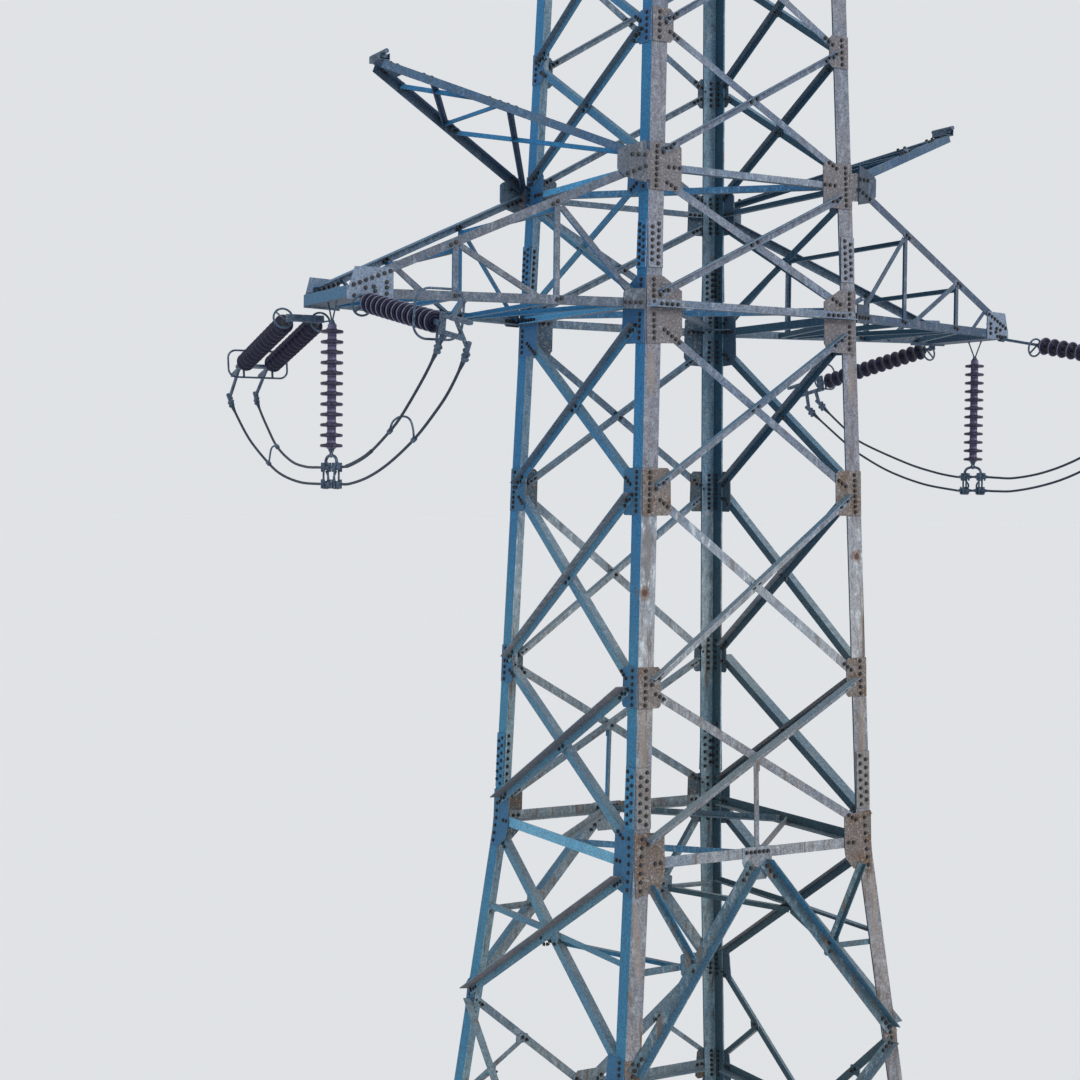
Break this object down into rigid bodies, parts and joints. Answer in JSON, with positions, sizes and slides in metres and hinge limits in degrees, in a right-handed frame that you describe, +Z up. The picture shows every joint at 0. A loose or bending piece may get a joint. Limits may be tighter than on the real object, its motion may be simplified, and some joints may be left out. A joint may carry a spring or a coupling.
{
  "type": "lattice transmission pylon",
  "caption": "Square tapering steel lattice tower with one crossarm, two earth wire horns, tension insulator sets and hanging jumper loops.",
  "frame": {"origin": "on the ground in the middle of the four feet", "axes": "+X along the crossarm to the right, -Y towards the near face, +Z up"},
  "size_m": [9.6479, 7.4592, 24.94],
  "materials": {
    "angle_steel": "weathered hot-dip galvanised angle steel with light rust stains",
    "plate_steel": "weathered galvanised plate with rust-brown staining",
    "forged_fittings": "dull galvanised forgings",
    "glazed_discs": "dark brown glaze",
    "stranded_conductor": "weathered dark stranded conductor"
  },
  "bodies": {
    "root": {"leg_near_left": "angle_steel", "leg_near_right": "angle_steel", "leg_far_left": "angle_steel", "leg_far_right": "angle_steel", "base_plates": "plate_steel", "base_bracing_near": "angle_steel", "base_bracing_far": "angle_steel", "base_bracing_left": "angle_steel", "base_bracing_right": "angle_steel", "waist_bracing_near": "angle_steel", "waist_bracing_far": "angle_steel", "waist_bracing_left": "angle_steel", "waist_bracing_right": "angle_steel", "body_bracing_near": "angle_steel", "body_bracing_far": "angle_steel", "body_bracing_left": "angle_steel", "body_bracing_right": "angle_steel", "ring_chords": "angle_steel", "plan_bracing_waist": "angle_steel", "plan_bracing_crossarm": "angle_steel", "gusset_plates_lower": "plate_steel", "gusset_plates_upper": "plate_steel", "splice_plates": "plate_steel", "peak": "angle_steel", "crossarm_left_near": "angle_steel", "crossarm_left_far": "angle_steel", "crossarm_right_near": "angle_steel", "crossarm_right_far": "angle_steel", "crossarm_left_ties": "angle_steel", "crossarm_right_ties": "angle_steel", "crossarm_tips": "plate_steel", "horn_left": "angle_steel", "horn_right": "angle_steel", "earth_wire_shoes": "forged_fittings", "tension_strings_left": "glazed_discs", "tension_strings_right": "glazed_discs", "tension_fittings_left": "forged_fittings", "tension_fittings_right": "forged_fittings", "jumper_string_left": "glazed_discs", "jumper_string_right": "glazed_discs", "jumper_yokes": "forged_fittings", "jumper_left_upper": "stranded_conductor", "jumper_left_lower": "stranded_conductor", "jumper_right_upper": "stranded_conductor", "jumper_right_lower": "stranded_conductor"}
  },
  "joints": []
}
